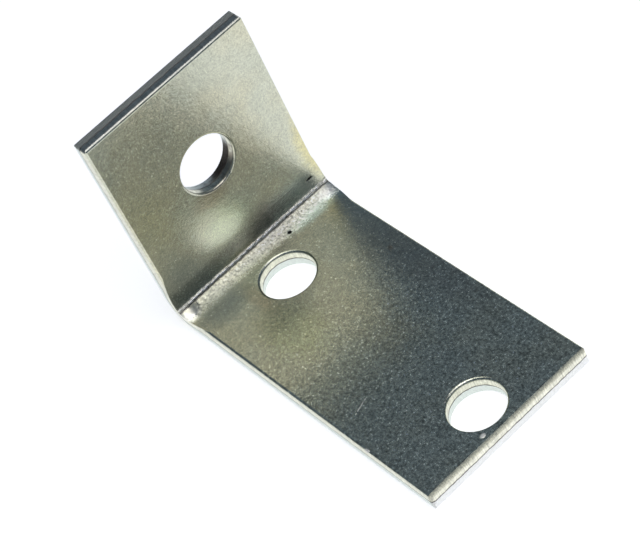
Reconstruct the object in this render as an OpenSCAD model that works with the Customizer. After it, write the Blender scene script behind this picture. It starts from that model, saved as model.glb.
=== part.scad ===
// Angle bracket, folded from one strip of zinc-plated steel and pierced with three screw holes.
// The long leg lies on XY and points along +X, and the short leg stands along +Z.
// The origin is under the middle of the bracket, in the plane of the long leg's outer face.

/* [Strip] */
// Width of the strip
width = 20; // [14:0.5:40]
// Thickness of the sheet
sheet = 1.9; // [1.5:0.1:3]

/* [Legs] */
// Length of the long leg, from the short leg's outer face to the free end
long_leg = 40; // [32:0.5:80]
// Height of the short leg, from the long leg's outer face to its end
short_leg = 25.5; // [20:0.5:60]
// Corner radius of the blank at both ends
corner_r = 0.4; // [0.2:0.1:2]

/* [Fold] */
// Radius of the tight crease along the middle of the fold, on the inside
crease_r = 0.4; // [0.4:0.1:1.5]
// Radius of the gentler curve on each side of the crease, on the inside
flank_r = 6.6; // [2:0.1:7]
// How far the squeezed metal stands out of each side of the fold
bulge = 0.2; // [0.1:0.05:0.4]
// How far that swelling reaches from its centre
bulge_reach = 2.6; // [2:0.1:3]
// How far inside the crease the swelling is centred
bulge_inset = 0.9; // [0.5:0.1:1.2]

/* [Holes] */
// Diameter of the two holes in the long leg
long_hole_d = 5.8; // [3:0.1:8]
// Diameter of the hole in the short leg
short_hole_d = 6.2; // [3:0.1:8]
// From the short leg's outer face to the centre of the hole near the fold
near_hole_x = 8; // [7.5:0.5:16]
// From the long leg's free end to the centre of the hole near it
end_hole_inset = 4; // [4:0.5:12]
// From the long leg's outer face to the centre of the short leg's hole
short_hole_z = 14.25; // [9:0.25:18]
// How far the long leg's holes lie off the middle of the strip
hole_line_y = -0.35; // [-1:0.05:1]

/* [Sheared edges] */
// Radius rolled onto every cut edge at the inner face
roll_r = 0.3; // [0.1:0.05:0.4]
// Depth of the smooth part of a cut, from the inner face
smooth_depth = 0.95; // [0.6:0.05:1.3]
// How far the torn part of a cut leans away by the outer face
torn_lean = 0.08; // [0.04:0.02:0.2]

/* [Hidden] */
$fn = 96;
torn_depth = sheet - smooth_depth;
overrun = 1;
// Each gentler curve turns through the small angle of a 7-24-25 triangle, about 16 degrees
flank_sin = 0.28;
flank_cos = 0.96;
flank_angle = asin(flank_sin);
// How far the fold reaches along each leg from the outer corner
tightening = flank_r - crease_r;
fold_reach = flank_r + sheet - tightening * (flank_cos - flank_sin);
// The crease's axis lies this far from both outer faces
crease_axis = fold_reach - tightening * flank_sin;
bulge_centre = crease_axis - (crease_r - bulge_inset) * cos(45);
bulge_sphere_r = (pow(bulge_reach, 2) + pow(bulge, 2)) / (2 * bulge);

// A sheet lying on the X axis, cut at x = 0, outer face down: torn below, smooth above, rolled on top
module cut_sheet(reach) {
    polygon([[-reach, 0], [-torn_lean, 0], [0, torn_depth], [-reach, torn_depth]]);
    translate([-reach, torn_depth]) square([reach, smooth_depth - roll_r]);
    translate([-reach, torn_depth]) square([reach - roll_r, smooth_depth]);
    translate([-roll_r, sheet - roll_r]) circle(r = roll_r);
}

// The strip's cross-section: the width along X, both sides cut, outer face down
module strip_section() {
    intersection() {
        translate([width / 2, 0]) cut_sheet(width);
        mirror([1, 0]) translate([width / 2, 0]) cut_sheet(width);
    }
}

// Plan of a flat leg: starts at x = 0 and ends at x = reach in two rounded corners
module leg_plan(reach) {
    translate([0, -width / 2]) square([reach - corner_r, width]);
    translate([0, corner_r - width / 2]) square([reach, width - 2 * corner_r]);
    for (side = [-1, 1])
        translate([reach - corner_r, side * (width / 2 - corner_r)]) circle(r = corner_r);
}

// One flat leg along +X from the end of the fold, with its outer face on z = 0
module flat_leg(reach) {
    intersection() {
        rotate([90, 0, 90]) linear_extrude(reach) strip_section();
        translate([reach, width / 2, 0]) rotate([90, 0, 0]) linear_extrude(width) cut_sheet(reach);
        linear_extrude(sheet) leg_plan(reach);
    }
}

// Screw hole punched from the inner face (z = sheet) and torn open towards the outer face (z = 0)
module punched_hole(d) {
    r = d / 2;
    rotate_extrude() {
        translate([0, -overrun]) square([r, sheet + 2 * overrun]);
        polygon([[0, -overrun], [r + torn_lean, -overrun], [r + torn_lean, 0], [r, torn_depth], [0, torn_depth]]);
        difference() {
            translate([0, sheet - roll_r]) square([r + roll_r, roll_r + overrun]);
            translate([r + roll_r, sheet - roll_r]) circle(r = roll_r);
        }
    }
}

// Screw holes of a leg on the X axis; each is [distance from the outer corner, offset, diameter]
module screw_holes(holes) {
    for (hole = holes)
        translate([hole[0], hole[1], 0]) punched_hole(hole[2]);
}

// Cuts every screw hole out of a piece of the folded strip
module pierced() {
    difference() {
        children();
        screw_holes([
            [near_hole_x, hole_line_y, long_hole_d],
            [long_leg - end_hole_inset, hole_line_y, long_hole_d]
        ]);
        stand_up() screw_holes([[short_hole_z, 0, short_hole_d]]);
    }
}

// Lays a leg out along +Z, with its outer face turned to -X
module stand_up() {
    mirror([1, 0, 0]) rotate([0, -90, 0]) children();
}

// Places its children so that their Z axis is a fold axis along Y, at [x, z]
module on_axis(axis) {
    translate([axis[0], 0, axis[1]]) rotate([90, 0, 0]) children();
}

// Sweeps a cross-section of the sheet through the quarter turn that faces the outer corner
module quarter_turn(inner_r) {
    rotate_extrude(angle = 90, start = 180)
        translate([inner_r + sheet, 0]) rotate([0, 0, 90]) children();
}

// The quarter of space round the Z axis that starts at an angle from +X
module quarter_space(start) {
    reach = flank_r + sheet + overrun;
    rotate([0, 0, start]) translate([0, 0, -width]) cube([reach, reach, 2 * width]);
}

// The whole fold: a gentle curve, the tight crease and a gentle curve again, 90 degrees in all
module fold() {
    on_axis([flank_r + sheet, fold_reach]) intersection() {
        quarter_turn(flank_r) children();
        quarter_space(90 + flank_angle);
    }
    on_axis([crease_axis, crease_axis]) intersection() {
        quarter_turn(crease_r) children();
        quarter_space(180 + flank_angle);
        quarter_space(180 - flank_angle);
    }
    on_axis([fold_reach, flank_r + sheet]) intersection() {
        quarter_turn(flank_r) children();
        quarter_space(270 - flank_angle);
    }
}

// The sheet's section without its sheared edges, wider than the strip on both sides
module wide_section() {
    translate([-width / 2 - overrun, 0]) square([width + 2 * overrun, sheet]);
}

// The start of the long leg, drawn over wide
module wide_leg_root() {
    translate([fold_reach, 0, 0]) rotate([90, 0, 90]) linear_extrude(bulge_reach) wide_section();
}

// The fold and the start of both legs, drawn over wide
module wide_corner() {
    fold() wide_section();
    wide_leg_root();
    stand_up() wide_leg_root();
}

// Metal squeezed out of one side at the inside of the fold, in the shape of a shallow dome
module squeezed_side() {
    corner_size = fold_reach + bulge_reach;
    intersection() {
        wide_corner();
        translate([bulge_centre, width / 2 + bulge - bulge_sphere_r, bulge_centre])
            sphere(r = bulge_sphere_r);
        translate([0, width / 2 - overrun, 0]) cube([corner_size, 2 * overrun, corner_size]);
    }
}

module bracket() {
    color("#8f9187") translate([-long_leg / 2, 0, 0]) {
        pierced() translate([fold_reach, 0, 0]) flat_leg(long_leg - fold_reach);
        pierced() stand_up() translate([fold_reach, 0, 0]) flat_leg(short_leg - fold_reach);
        pierced() fold() strip_section();
        squeezed_side();
        mirror([0, 1, 0]) squeezed_side();
    }
}

bracket();
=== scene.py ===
import math

import bpy
from mathutils import Matrix, Vector


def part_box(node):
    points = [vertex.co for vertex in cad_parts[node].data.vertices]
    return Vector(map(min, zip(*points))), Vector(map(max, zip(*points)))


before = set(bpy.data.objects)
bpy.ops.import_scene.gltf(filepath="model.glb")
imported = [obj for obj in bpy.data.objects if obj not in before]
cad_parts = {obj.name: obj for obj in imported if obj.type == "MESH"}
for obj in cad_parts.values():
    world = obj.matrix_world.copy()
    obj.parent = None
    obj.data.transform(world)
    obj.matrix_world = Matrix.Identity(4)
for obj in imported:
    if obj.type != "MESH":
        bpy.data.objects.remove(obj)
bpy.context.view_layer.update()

MM = 0.001

# The bracket's lowest and highest corner, in millimetres, read from the frame
LOW, HIGH = (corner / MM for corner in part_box("bracket"))

# The sheet's thickness, in millimetres
SHEET = 1.9


# ---------------------------------------------------------------- stage, camera and light

# Angles in degrees, distances in metres, lens and sensor in millimetres
CAMERA_AZIMUTH = 69.57
CAMERA_ELEVATION = 44.60
CAMERA_ROLL = -27.82
CAMERA_DISTANCE = 0.24764
CAMERA_LENS = 143.7
CAMERA_SENSOR = 36.0
CAMERA_NEAR = 0.005
CAMERA_FAR = 20.0
CAMERA_AIM = Vector((-8.912, 1.408, SHEET)) * MM

FLOOR_SIZE = 2.4
FLOOR_COLOUR = (0.92, 0.92, 0.92, 1.0)
FLOOR_ROUGHNESS = 0.9
FLOOR_SPECULAR = 0.1
FLOOR_GLOW = 0.70

# Each softbox: name, azimuth, elevation, distance, side, radiance and colour
SOFTBOXES = [
    ("front_softbox", 110.0, 65.0, 0.9, 0.60, 1.50, (0.98, 0.95, 1.05)),
    ("overhead_softbox", 110.0, 92.0, 0.9, 0.45, 2.5, (1.0, 1.0, 1.0)),
]

# Sine of the height above the horizon, and the radiance there
WORLD_STOPS = [
    (0.0, (0.11, 0.14, 0.18)),
    (0.25, (0.09, 0.12, 0.16)),
    (0.50, (0.088, 0.12, 0.168)),
    (1.0, (0.088, 0.12, 0.168)),
]


def away(azimuth, elevation):
    """Unit vector from the object towards a viewer; azimuth 0 looks along +Y and 90 along -X."""
    a, e = math.radians(azimuth), math.radians(elevation)
    return Vector((math.sin(a) * math.cos(e), -math.cos(a) * math.cos(e), math.sin(e)))


def make_camera():
    data = bpy.data.cameras.new("camera")
    data.lens = CAMERA_LENS
    data.sensor_width = CAMERA_SENSOR
    data.clip_start = CAMERA_NEAR
    data.clip_end = CAMERA_FAR
    camera = bpy.data.objects.new("camera", data)
    back = away(CAMERA_AZIMUTH, CAMERA_ELEVATION)
    roll = Matrix.Rotation(math.radians(CAMERA_ROLL), 4, "Z")
    turn = (-back).to_track_quat("-Z", "Y").to_matrix().to_4x4()
    camera.matrix_world = Matrix.Translation(CAMERA_AIM + back * CAMERA_DISTANCE) @ turn @ roll
    bpy.context.scene.collection.objects.link(camera)
    bpy.context.scene.camera = camera


def floor_paper():
    """Matt pale paper that also glows a little, so that it stays white in the picture."""
    material = bpy.data.materials.new("pale_paper")
    material.use_nodes = True
    shader = material.node_tree.nodes["Principled BSDF"]
    shader.inputs["Base Color"].default_value = FLOOR_COLOUR
    shader.inputs["Roughness"].default_value = FLOOR_ROUGHNESS
    shader.inputs["Specular IOR Level"].default_value = FLOOR_SPECULAR
    shader.inputs["Emission Color"].default_value = FLOOR_COLOUR
    shader.inputs["Emission Strength"].default_value = FLOOR_GLOW
    return material


def make_floor():
    half = FLOOR_SIZE / 2
    corners = [(-half, -half, 0), (half, -half, 0), (half, half, 0), (-half, half, 0)]
    mesh = bpy.data.meshes.new("floor")
    mesh.from_pydata(corners, [], [(0, 1, 2, 3)])
    mesh.materials.append(floor_paper())
    floor = bpy.data.objects.new("floor", mesh)
    bpy.context.scene.collection.objects.link(floor)


def make_softbox(name, azimuth, elevation, distance, size, radiance, colour):
    """A square panel that faces the object; its light is given as the radiance of its surface."""
    data = bpy.data.lights.new(name, "AREA")
    data.shape = "SQUARE"
    data.size = size
    data.energy = radiance * math.pi * size * size
    data.color = colour
    lamp = bpy.data.objects.new(name, data)
    direction = away(azimuth, elevation)
    lamp.location = direction * distance
    lamp.rotation_euler = direction.to_track_quat("Z", "Y").to_euler()
    bpy.context.scene.collection.objects.link(lamp)


def make_world():
    """A dim, bluish studio that is a little lighter near the floor."""
    world = bpy.data.worlds.new("studio")
    bpy.context.scene.world = world
    world.use_nodes = True
    tree = world.node_tree
    background = tree.nodes["Background"]
    direction = tree.nodes.new("ShaderNodeTexCoord")
    split = tree.nodes.new("ShaderNodeSeparateXYZ")
    tree.links.new(direction.outputs["Generated"], split.inputs[0])
    ramp = tree.nodes.new("ShaderNodeValToRGB")
    ramp.color_ramp.interpolation = "B_SPLINE"
    while len(ramp.color_ramp.elements) < len(WORLD_STOPS):
        ramp.color_ramp.elements.new(0.5)
    for element, (height, colour) in zip(ramp.color_ramp.elements, WORLD_STOPS):
        element.position = height
        element.color = (*colour, 1.0)
    tree.links.new(split.outputs["Z"], ramp.inputs[0])
    tree.links.new(ramp.outputs[0], background.inputs["Color"])
    background.inputs["Strength"].default_value = 1.0


# ---------------------------------------------------------------- shader graph helpers


class Graph:
    """Short names for the shader nodes that the finish is built from."""

    def __init__(self, material):
        material.use_nodes = True
        self.tree = material.node_tree
        self.shader = self.tree.nodes["Principled BSDF"]

    def feed(self, socket, value):
        """Gives a socket either another socket's output or a plain value."""
        if isinstance(value, bpy.types.NodeSocket):
            self.tree.links.new(value, socket)
        else:
            socket.default_value = value

    def node(self, kind, **settings):
        made = self.tree.nodes.new(kind)
        for name, value in settings.items():
            setattr(made, name, value)
        return made

    def math(self, operation, a, b=0.0):
        made = self.node("ShaderNodeMath", operation=operation)
        self.feed(made.inputs[0], a)
        self.feed(made.inputs[1], b)
        return made.outputs[0]

    def add(self, a, b):
        return self.math("ADD", a, b)

    def less(self, a, b):
        return self.math("SUBTRACT", a, b)

    def times(self, a, b):
        return self.math("MULTIPLY", a, b)

    def size(self, a):
        return self.math("ABSOLUTE", a)

    def centred(self, pattern):
        """A noise pattern shifted so that it swings about 0."""
        return self.less(pattern, 0.5)

    def most(self, first, *others):
        """The largest of several numbers."""
        for other in others:
            first = self.math("MAXIMUM", first, other)
        return first

    def weighted(self, base, parts):
        """The base plus each part times its weight."""
        for part, weight in parts:
            base = self.add(base, self.times(part, weight))
        return base

    def step(self, value, start, end, low=0.0, high=1.0):
        """Goes smoothly from low to high while the value goes from start to end."""
        made = self.node("ShaderNodeMapRange", interpolation_type="SMOOTHSTEP")
        for socket, part in zip(made.inputs, (value, start, end, low, high)):
            self.feed(socket, part)
        return made.outputs[0]

    def fade(self, value, start, end):
        """Goes smoothly from 1 to 0 while the value goes from start to end."""
        return self.step(value, start, end, 1.0, 0.0)

    def scaled(self, vector, factors):
        made = self.node("ShaderNodeVectorMath", operation="MULTIPLY")
        self.feed(made.inputs[0], vector)
        self.feed(made.inputs[1], factors)
        return made.outputs[0]

    def noise(self, vector, scale, detail=2.0, roughness=0.5):
        made = self.node("ShaderNodeTexNoise")
        self.feed(made.inputs["Vector"], vector)
        made.inputs["Scale"].default_value = scale
        made.inputs["Detail"].default_value = detail
        made.inputs["Roughness"].default_value = roughness
        return made.outputs["Fac"]

    def mix(self, amount, a, b):
        """A colour that goes from a to b while the amount goes from 0 to 1."""
        made = self.node("ShaderNodeMix", data_type="RGBA")
        self.feed(made.inputs["Factor"], amount)
        self.feed(made.inputs[6], a)
        self.feed(made.inputs[7], b)
        return made.outputs[2]

    def coated(self, colour, coats):
        """A colour under several coats, each given as [how much it covers, its colour]."""
        for amount, coat in coats:
            colour = self.mix(amount, colour, coat)
        return colour

    def blend(self, amount, a, b):
        """A number that goes from a to b while the amount goes from 0 to 1."""
        made = self.node("ShaderNodeMix", data_type="FLOAT")
        for socket, part in zip(made.inputs[0:1] + made.inputs[2:4], (amount, a, b)):
            self.feed(socket, part)
        return made.outputs[0]

    def shade(self, colour, brightness):
        """A colour multiplied by a number."""
        made = self.node("ShaderNodeVectorMath", operation="SCALE")
        self.feed(made.inputs[0], colour if isinstance(colour, bpy.types.NodeSocket) else colour[:3])
        self.feed(made.inputs["Scale"], brightness)
        return made.outputs[0]

    def split(self, vector):
        made = self.node("ShaderNodeSeparateXYZ")
        self.feed(made.inputs[0], vector)
        return made.outputs[0], made.outputs[1], made.outputs[2]


# ---------------------------------------------------------------- places on the bracket

# All in millimetres; a pair is where a soft change starts and where it ends.
# From the short leg to the long leg, by how much farther it is to the short leg's outer face
LEG_CHANGE = (-0.05, 0.05)
# From the fold to the straight leg, by the run along the leg
FOLD_CHANGE = (2.2, 2.7)
# From the inner face down into the sheet
INNER_DEPTH = (0.3, 0.6)
# Into the skin of an end face, by the distance from the end
END_SKIN = (0.28, 0.20)
# The rolled rim of the free end: down from the inner face, and back from the end
ROLL_DEPTH = (0.25, 0.5)
ROLL_WIDTH = 0.3

# How squarely a surface looks out of the sheet: cut walls are below this, faces above it
CUT_FACING = (0.45, 0.75)


class Place:
    """Where a point of the bracket lies, in millimetres, as sockets of a graph."""

    def __init__(self, g):
        source = g.node("ShaderNodeTexCoord")
        self.mm = g.scaled(source.outputs["Object"], (1 / MM,) * 3)
        self.x, self.y, self.z = g.split(self.mm)
        # Distances from the outer faces of the short leg and the long leg
        self.off_short = g.less(self.x, LOW.x)
        self.off_long = self.z
        self.long_leg = g.step(g.less(self.off_short, self.off_long), *LEG_CHANGE)
        # How deep below the inner face, and how far along the leg from the inside of the fold
        self.depth = g.less(SHEET, g.math("MINIMUM", self.off_short, self.off_long))
        self.run = g.less(g.most(self.off_short, self.off_long), SHEET)
        # The end faces of the long leg and of the short leg
        self.free_end = g.step(self.x, *(HIGH.x - skin for skin in END_SKIN))
        self.top_end = g.step(self.z, *(HIGH.z - skin for skin in END_SKIN))
        # Cut walls; the long leg's free end counts as cut up to its very edge
        walls = self.cut_walls(g, source.outputs["Normal"])
        self.cut_edge = g.most(walls, self.free_end)
        self.inside = g.times(g.less(1.0, self.cut_edge), g.fade(self.depth, *INNER_DEPTH))
        # The rolled rim of the free end
        self.rolled = g.times(self.free_end, g.fade(self.depth, *ROLL_DEPTH))
        self.past_roll = g.most(g.less(self.x, HIGH.x - ROLL_WIDTH), 0.0)

    def cut_walls(self, g, normal):
        """1 where the surface was cut through the sheet, told by the way that it faces."""
        normal_x, normal_y, normal_z = g.split(normal)
        facing = g.blend(self.long_leg, g.size(normal_x), g.size(normal_z))
        in_fold = g.math("SQRT", g.less(1.0, g.times(normal_y, normal_y)))
        past_fold = g.step(self.run, *FOLD_CHANGE)
        return g.fade(g.blend(past_fold, in_fold, facing), *CUT_FACING)


def spot(g, place, centre, radii, softness=0.6, ragged=0.35, grain=1.5):
    """1 within an ellipsoid with a ragged, soft rim, and 0 outside it."""
    shifted = g.node("ShaderNodeVectorMath", operation="SUBTRACT")
    g.feed(shifted.inputs[0], place.mm)
    shifted.inputs[1].default_value = centre
    unit = g.scaled(shifted.outputs[0], tuple(1 / r for r in radii))
    length = g.node("ShaderNodeVectorMath", operation="LENGTH")
    g.feed(length.inputs[0], unit)
    wobble = g.times(g.centred(g.noise(place.mm, grain)), ragged * 2)
    return g.fade(g.add(length.outputs["Value"], wobble), 1 - softness, 1 + softness)


# ---------------------------------------------------------------- stains, marks, wear and painted light

YELLOW_TINT = (0.74, 0.66, 0.30, 1.0)
BROWN_TINT = (0.40, 0.27, 0.15, 1.0)
OLIVE_TINT = (0.62, 0.62, 0.33, 1.0)
# The next two tints are painted shade, for the dark patches by the crease and along the long leg's
# far edge
PAINTED_SHADE_TINT = (0.30, 0.27, 0.22, 1.0)
CREASE_SHADE_TINT = (0.25, 0.29, 0.28, 1.0)
GREEN_TINT = (0.60, 0.68, 0.48, 1.0)
# A painted highlight's tint, for the pale streak beside the crease
PAINTED_HIGHLIGHT_TINT = (0.80, 0.95, 0.88, 1.0)

# Each stain and each patch of painted shade and highlight: centre, radii, tint and strength
STAINS_AND_PAINTED_LIGHT = [
    # Yellow along the short leg's far edge, just above the fold
    ((-18.6, 10.2, 7.0), (1.2, 1.3, 4.0), YELLOW_TINT, 0.6),
    # Olive haze on the long leg, beside the hole near the fold
    ((-6.0, -4.6, SHEET), (4.0, 2.6, 1.5), OLIVE_TINT, 0.45),
    # Brown along the near side of that hole
    ((-12.6, -4.0, SHEET), (2.2, 0.9, 1.5), BROWN_TINT, 0.30),
    # A rusty fleck towards the long leg's far edge
    ((-5.4, 7.9, SHEET), (0.30, 0.25, 0.5), BROWN_TINT, 0.6),
    # Brown haze under the short leg's hole
    ((-18.1, -1.2, 10.8), (1.5, 2.0, 1.1), BROWN_TINT, 0.30),
    # Warm streak at the middle of the crease
    ((-17.9, -1.0, 2.2), (0.7, 2.6, 0.7), YELLOW_TINT, 0.45),
    # Painted shade: dark patches at the middle of the short leg's foot and near the crease's near
    # end
    ((-18.1, 1.0, 4.0), (1.5, 4.2, 1.8), PAINTED_SHADE_TINT, 0.85),
    ((-15.2, -7.0, SHEET), (2.3, 2.8, 1.5), CREASE_SHADE_TINT, 0.72),
    # Painted shade: a darker strip along the long leg's far edge
    ((-1.0, 8.8, SHEET), (8.0, 2.6, 1.5), PAINTED_SHADE_TINT, 0.35),
    # Greenish haze above the middle of the fold
    ((-18.1, -0.8, 6.4), (1.5, 2.6, 2.4), GREEN_TINT, 0.45),
    # Painted highlight: a pale streak beside the crease, towards its far end
    ((-15.9, 6.6, SHEET), (0.8, 3.2, 0.8), PAINTED_HIGHLIGHT_TINT, 0.8),
]

# Each mark: centre, radii, softness and raggedness
DARK_MARKS = [
    # The pit beside the near hole
    ((-16.1, 3.4, SHEET), (0.22, 0.22, 0.4), 0.25, 0.2),
    # The short mark near the crease's far end
    ((-17.9, 8.6, 3.7), (0.4, 0.45, 0.14), 0.3, 0.3),
]
BRIGHT_MARKS = [
    # The nick on the long leg's near edge
    ((11.1, -9.95, SHEET), (0.35, 0.18, 0.3), 0.3, 0.3),
    # The speck beside the end hole
    ((19.1, -2.4, SHEET), (0.22, 0.3, 0.3), 0.3, 0.3),
]
MARK_GRAIN = 4.0

# The scratch on the long leg's inner face, from [x, y] to [x, y]; its core is the share of its
# width that shows in full, and its taper the length over which each end fades
SCRATCH_START = Vector((6.4, -5.8))
SCRATCH_END = Vector((7.1, -7.9))
SCRATCH_HALF_WIDTH = 0.07
SCRATCH_CORE = 0.3
SCRATCH_TAPER = 0.3
SCRATCH_DEPTH = (0.05, 0.15)
SCRATCH_BREAKS = (3.0, 1.0)
SCRATCH_BROKEN = (0.35, 0.5)

# The little ears of metal squeezed up at both ends of the crease, raised by the bump and with a
# painted highlight on them
EARS = [(-17.3, -9.5, 2.1), (-17.3, 9.1, 2.2)]
EAR_RADII = (1.0, 0.9, 0.7)
# Softness, raggedness and grain
EAR_RIM = (0.8, 0.15, 2.0)

# The crease; a line's place is how much farther it is from there to the short leg's outer face
# than to the long leg's, which is 0 where the two inner faces meet
CREASE_NOISE = (2.2, 4.0, 0.65)
CREASE_WANDER = 0.40
CREASE_REACH = (0.9, 1.2)
# The dark hairline is painted shade at the bottom of the crease
HAIRLINE_AT = 0.22
HAIRLINE_WIDTH = (0.03, 0.14)
# The bright line above it is a painted highlight on a low raised ridge
HIGHLIT_RIDGE_AT = -0.12
HIGHLIT_RIDGE_WIDTH = (0.0, 0.36)

# The rough band beside the crease, which carries a painted sheen and weakens towards the near edge
# of the long leg
BAND_REACH = (1.0, 2.8)
BAND_WANDER = 4.0
BAND_CHANGE = (-9.0, 3.0)
BAND_NEAR_STRENGTH = 0.45

# Painted shade on the lower wall of the short leg's hole, brown there and black on its torn part:
# centre, radii, softness, raggedness and grain
HOLE_SHADE_SPOT = ((-19.0, 1.8, 12.0), (1.6, 2.4, 1.8), 0.5, 0.9, 2.0)
SHADED_TEAR_SPOT = ((-19.4, 1.9, 12.2), (1.6, 2.0, 2.0), 0.3, 0.3, 1.5)


def with_stains_and_painted_light(g, place, colour):
    """A colour under the tints and stains of the passivated plating, and under the patches of
    painted shade and highlight listed with them.
    """
    return g.coated(colour, [
        (g.times(spot(g, place, centre, radii), strength), tint)
        for centre, radii, tint, strength in STAINS_AND_PAINTED_LIGHT
    ])


def marks(g, place, table):
    """The small marks of a table, as one mask."""
    return g.most(*(spot(g, place, *mark, MARK_GRAIN) for mark in table))


def scratch(g, place):
    """A thin, straight, broken scratch that tapers at both ends."""
    length = (SCRATCH_END - SCRATCH_START).length
    along = (SCRATCH_END - SCRATCH_START).normalized()
    dx = g.less(place.x, SCRATCH_START.x)
    dy = g.less(place.y, SCRATCH_START.y)
    far = g.add(g.times(dx, along.x), g.times(dy, along.y))
    off = g.size(g.less(g.times(dx, along.y), g.times(dy, along.x)))
    thin = g.fade(off, SCRATCH_HALF_WIDTH * SCRATCH_CORE, SCRATCH_HALF_WIDTH)
    ends = g.times(g.step(far, 0.0, SCRATCH_TAPER), g.fade(far, length - SCRATCH_TAPER, length))
    on_top = g.fade(place.depth, *SCRATCH_DEPTH)
    broken = g.step(g.noise(place.mm, *SCRATCH_BREAKS), *SCRATCH_BROKEN)
    return g.times(g.times(thin, ends), g.times(on_top, broken))


def crease(g, place):
    """The bottom of the fold: its dark hairline of painted shade, the bright line above it, which is
    a painted highlight on a low ridge, and the rough band, which also carries a painted sheen.
    """
    ragged = g.times(g.centred(g.noise(place.mm, *CREASE_NOISE)), CREASE_WANDER)
    lean = g.add(g.less(place.off_short, place.off_long), ragged)
    close = g.times(g.fade(place.run, *CREASE_REACH), place.inside)
    hairline = g.times(g.fade(g.size(g.less(lean, HAIRLINE_AT)), *HAIRLINE_WIDTH), close)
    shiny_line = g.times(g.fade(g.size(g.less(lean, HIGHLIT_RIDGE_AT)), *HIGHLIT_RIDGE_WIDTH), close)
    fading = g.fade(g.add(place.run, g.times(ragged, BAND_WANDER)), *BAND_REACH)
    towards_end = g.step(place.y, *BAND_CHANGE, BAND_NEAR_STRENGTH, 1.0)
    rough_sheen_band = g.times(g.times(place.long_leg, fading), g.times(place.inside, towards_end))
    return hairline, shiny_line, rough_sheen_band


# ---------------------------------------------------------------- the zinc finish

WARM_ZINC = (0.62, 0.61, 0.465, 1.0)
COOL_ZINC = (0.58, 0.595, 0.48, 1.0)
SHEARED_ZINC = (0.70, 0.70, 0.57, 1.0)
SHEARED_END_ZINC = (0.80, 0.79, 0.66, 1.0)
TORN_ZINC = (0.80, 0.85, 0.80, 1.0)
TORN_END_ZINC = (0.97, 0.97, 0.94, 1.0)
# Painted shade: the short leg's end gets this darker colour in place of the cut walls' own
SHADED_END_ZINC = (0.50, 0.50, 0.44, 1.0)
DARK_LINE = (0.06, 0.05, 0.04, 1.0)
# Painted shade inside the short leg's hole
HOLE_SHADE_COLOUR = (0.16, 0.13, 0.09, 1.0)
PIT_BLACK = (0.01, 0.01, 0.01, 1.0)
# Bright metal for the nicks, the speck and the scratch, and also painted highlight and sheen on the
# crease and the ears
BRIGHT_METAL_AND_HIGHLIGHT = (0.98, 0.96, 0.88, 1.0)

# Noise patterns: scale for a place in millimetres, detail and, where it isn't 0.5, roughness
CLOUDS = (0.16, 3.0, 0.55)
BLOTCHES = (0.7, 4.0, 0.6)
GRAIN = (4.0, 4.0, 0.75)
FINE_GRAIN = (9.0, 2.0, 0.6)
RUBBED = (3.0, 4.0, 0.7)
SPECKS = (3.2, 1.0)
BAND_BUMPS = (4.0, 3.0, 0.6)
TORN_BUMPS = (6.0, 3.0, 0.6)

# The parts of a pattern's range over which the zinc turns cool and over which specks appear
CLOUD_EDGE = (0.35, 0.65)
SPECK_EDGE = (0.66, 0.76)

# Along the long leg, in millimetres: where the specks set in and where the grain grows coarse
SPECKS_FROM = (-14.0, -2.0)
COARSE_FROM = (-14.0, 6.0)
GRAIN_GAINS = (1.0, 4.2)

# The tear halfway down each cut wall, in millimetres
TEAR_DEPTH = 0.95
TEAR_CHANGE = (TEAR_DEPTH - 0.03, TEAR_DEPTH + 0.05)
TEAR_LINE_WIDTH = (0.03, 0.10)
TEAR_NOISE = (1.2, 2.0)
TEAR_WANDER = 0.25

# The streaks of a cut wall are long through the sheet and short along it
STREAK_THROUGH = 0.5
STREAK_ALONG = 7.0
STREAK_NOISE = (1.0, 3.0, 0.6)

# How bright the painted sheen on the crease's rubbed ridge and rough band is, and how strongly a
# pattern shows on it and on the cut walls
SHEEN_BRIGHTNESS = 1.05
SHEEN_GAIN = 4.5
STREAK_GAIN = 1.2
TORN_GAIN = 0.5

FACE_ROUGHNESS = 0.24


class Finish:
    """The patterns, and the places of wear and of painted light, that the colour, the roughness and
    the relief share.
    """

    def __init__(self, g, place):
        self.blotches = g.noise(place.mm, *BLOTCHES)
        self.grain = g.noise(place.mm, *GRAIN)
        self.fine = g.noise(place.mm, *FINE_GRAIN)
        self.rubbed = g.centred(g.noise(place.mm, *RUBBED))
        self.hairline, self.shiny_line, self.rough_sheen_band = crease(g, place)
        self.dark_mark = marks(g, place, DARK_MARKS)
        self.bright_mark = g.most(marks(g, place, BRIGHT_MARKS), scratch(g, place))
        ears = g.most(*(spot(g, place, centre, EAR_RADII, *EAR_RIM) for centre in EARS))
        self.ears = g.times(ears, place.long_leg)
        # Each cut wall is sheared smooth down to the tear and torn below it
        wander = g.times(g.centred(g.noise(place.mm, *TEAR_NOISE)), TEAR_WANDER)
        depth = g.add(place.depth, wander)
        self.torn = g.times(place.cut_edge, g.step(depth, *TEAR_CHANGE))
        from_tear = g.size(g.less(depth, TEAR_DEPTH))
        self.tear_line = g.times(place.cut_edge, g.fade(from_tear, *TEAR_LINE_WIDTH))


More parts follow.
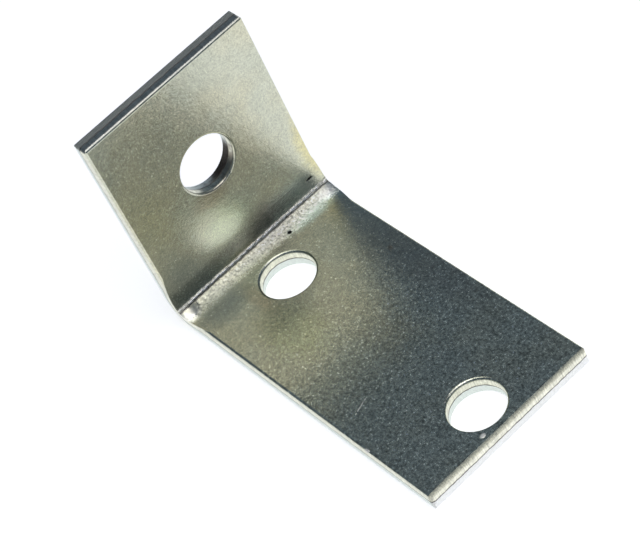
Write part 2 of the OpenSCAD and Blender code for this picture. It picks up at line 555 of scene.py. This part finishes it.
def face_colour(g, place, finish):
    """The legs' inner and outer faces: clouded and mottled zinc with its stains, and with patches of
    painted shade and highlight.
    """
    cloud = g.noise(place.mm, *CLOUDS)
    colour = g.mix(g.step(cloud, *CLOUD_EDGE), WARM_ZINC, COOL_ZINC)
    colour = with_stains_and_painted_light(g, place, colour)
    specks = g.times(g.step(g.noise(place.mm, *SPECKS), *SPECK_EDGE), g.step(place.x, *SPECKS_FROM))
    # The crease's ridge and rough band, where a painted highlight and sheen lie
    wear_and_sheen = g.most(finish.rough_sheen_band, finish.shiny_line)
    mottle = g.weighted(0.0, [
        (g.centred(finish.grain), g.step(place.x, *COARSE_FROM, *GRAIN_GAINS)),
        (g.centred(finish.fine), 0.9),
        (specks, 0.9),
        (g.centred(finish.blotches), 0.25),
        (g.times(wear_and_sheen, finish.rubbed), 3.0),
    ])
    return g.shade(colour, g.add(1.0, mottle))


def streaks(g, place):
    """Fine streaks that run through the sheet on its cut walls."""
    stretched = g.node("ShaderNodeCombineXYZ")
    along_x = g.blend(place.long_leg, STREAK_THROUGH, STREAK_ALONG)
    along_z = g.blend(place.long_leg, STREAK_ALONG, STREAK_THROUGH)
    g.feed(stretched.inputs[0], g.times(place.x, along_x))
    g.feed(stretched.inputs[1], g.times(place.y, STREAK_ALONG))
    g.feed(stretched.inputs[2], g.times(place.z, along_z))
    return g.noise(stretched.outputs[0], *STREAK_NOISE)


def with_cut_walls(g, place, finish, colour):
    """Adds the cut walls: burnished where the cut was smooth, bright and crumbled where it tore, and
    darker on the short leg's end, which is painted shade.
    """
    sheared = g.mix(place.free_end, SHEARED_ZINC, SHEARED_END_ZINC)
    # Painted shade: the short leg's end is darkened, on its sheared and its torn part
    sheared = g.mix(place.top_end, sheared, SHADED_END_ZINC)
    streaked = g.add(g.times(g.centred(streaks(g, place)), STREAK_GAIN), finish.rubbed)
    sheared = g.shade(sheared, g.add(1.0, streaked))
    crumbled = g.mix(place.free_end, TORN_ZINC, TORN_END_ZINC)
    crumbled = g.mix(place.top_end, crumbled, SHADED_END_ZINC)
    crumbled = g.shade(crumbled, g.add(1.0, g.times(g.centred(finish.grain), TORN_GAIN)))
    return g.coated(colour, [
        (place.cut_edge, sheared),
        (finish.torn, crumbled),
        (g.times(finish.tear_line, 0.85), DARK_LINE),
    ])


def with_wear_and_painted_light(g, place, finish, colour):
    """Adds the crease's rubbed metal with its painted highlight and sheen, the ears' painted
    highlight, painted shade in the short leg's hole and along the crease's hairline, and the marks,
    the last on top.
    """
    # Painted sheen for the crease's ridge and rough band
    brightness = g.add(SHEEN_BRIGHTNESS, g.times(finish.rubbed, SHEEN_GAIN))
    painted_sheen = g.shade(BRIGHT_METAL_AND_HIGHLIGHT, brightness)
    hole_shade = g.times(place.cut_edge, spot(g, place, *HOLE_SHADE_SPOT))
    return g.coated(colour, [
        # Painted highlight on the crease's low ridge
        (g.times(finish.shiny_line, 0.9), painted_sheen),
        # Painted sheen on the crease's rough band
        (g.times(finish.rough_sheen_band, 0.6), painted_sheen),
        # Painted highlight on the ears
        (g.times(finish.ears, 0.9), BRIGHT_METAL_AND_HIGHLIGHT),
        # Painted shade in the short leg's hole: brown on its lower wall, black on its torn part
        (g.times(hole_shade, 0.75), HOLE_SHADE_COLOUR),
        (g.times(finish.torn, spot(g, place, *SHADED_TEAR_SPOT)), DARK_LINE),
        # Painted shade: the dark hairline at the bottom of the crease
        (g.times(finish.hairline, 0.75), DARK_LINE),
        (finish.bright_mark, BRIGHT_METAL_AND_HIGHLIGHT),
        (finish.dark_mark, PIT_BLACK),
    ])


def surface_roughness(g, place, finish):
    """The roughness: every part adds its weight where its mask is 1."""
    return g.weighted(FACE_ROUGHNESS, [
        (g.centred(finish.grain), 0.20),
        (finish.rough_sheen_band, 0.16),
        (finish.shiny_line, 0.10),
        (place.cut_edge, 0.08),
        (place.rolled, 0.45),
        (finish.torn, 0.20),
        (finish.bright_mark, 0.45),
    ])


def relief(g, place, finish):
    """The surface's small relief, as a bump; the weights are heights in millimetres."""
    height = g.weighted(0.0, [
        (finish.grain, 0.012),
        (finish.fine, 0.004),
        (finish.blotches, 0.02),
        (g.times(finish.rough_sheen_band, g.noise(place.mm, *BAND_BUMPS)), 0.10),
        (g.times(finish.torn, g.noise(place.mm, *TORN_BUMPS)), 0.10),
        (finish.shiny_line, 0.25),
        (finish.ears, 0.30),
        # This one is a slope: millimetres down for each millimetre into the rolled rim
        (place.past_roll, -3.0),
        (finish.dark_mark, -0.06),
        (finish.bright_mark, 0.05),
        (finish.hairline, -0.02),
    ])
    bump = g.node("ShaderNodeBump")
    bump.inputs["Strength"].default_value = 1.0
    bump.inputs["Distance"].default_value = MM
    g.feed(bump.inputs["Height"], height)
    return bump.outputs[0]


def zinc_finish():
    """Satin zinc plating with its grain, stains, cut walls, crease wear and marks, and painted shade
    and highlights at the crease, the ears, the short leg's hole and the short leg's end.
    """
    material = bpy.data.materials.new("zinc_plated_steel")
    g = Graph(material)
    place = Place(g)
    finish = Finish(g, place)
    colour = face_colour(g, place, finish)
    colour = with_cut_walls(g, place, finish, colour)
    colour = with_wear_and_painted_light(g, place, finish, colour)
    g.feed(g.shader.inputs["Base Color"], colour)
    g.feed(g.shader.inputs["Metallic"], 1.0)
    g.feed(g.shader.inputs["Roughness"], surface_roughness(g, place, finish))
    g.feed(g.shader.inputs["Normal"], relief(g, place, finish))
    return material


# ---------------------------------------------------------------- the scene

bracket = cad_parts["bracket"]
bracket.data.materials.clear()
bracket.data.materials.append(zinc_finish())

make_camera()
make_floor()
make_world()
for softbox in SOFTBOXES:
    make_softbox(*softbox)

bpy.context.scene.view_settings.view_transform = "Standard"
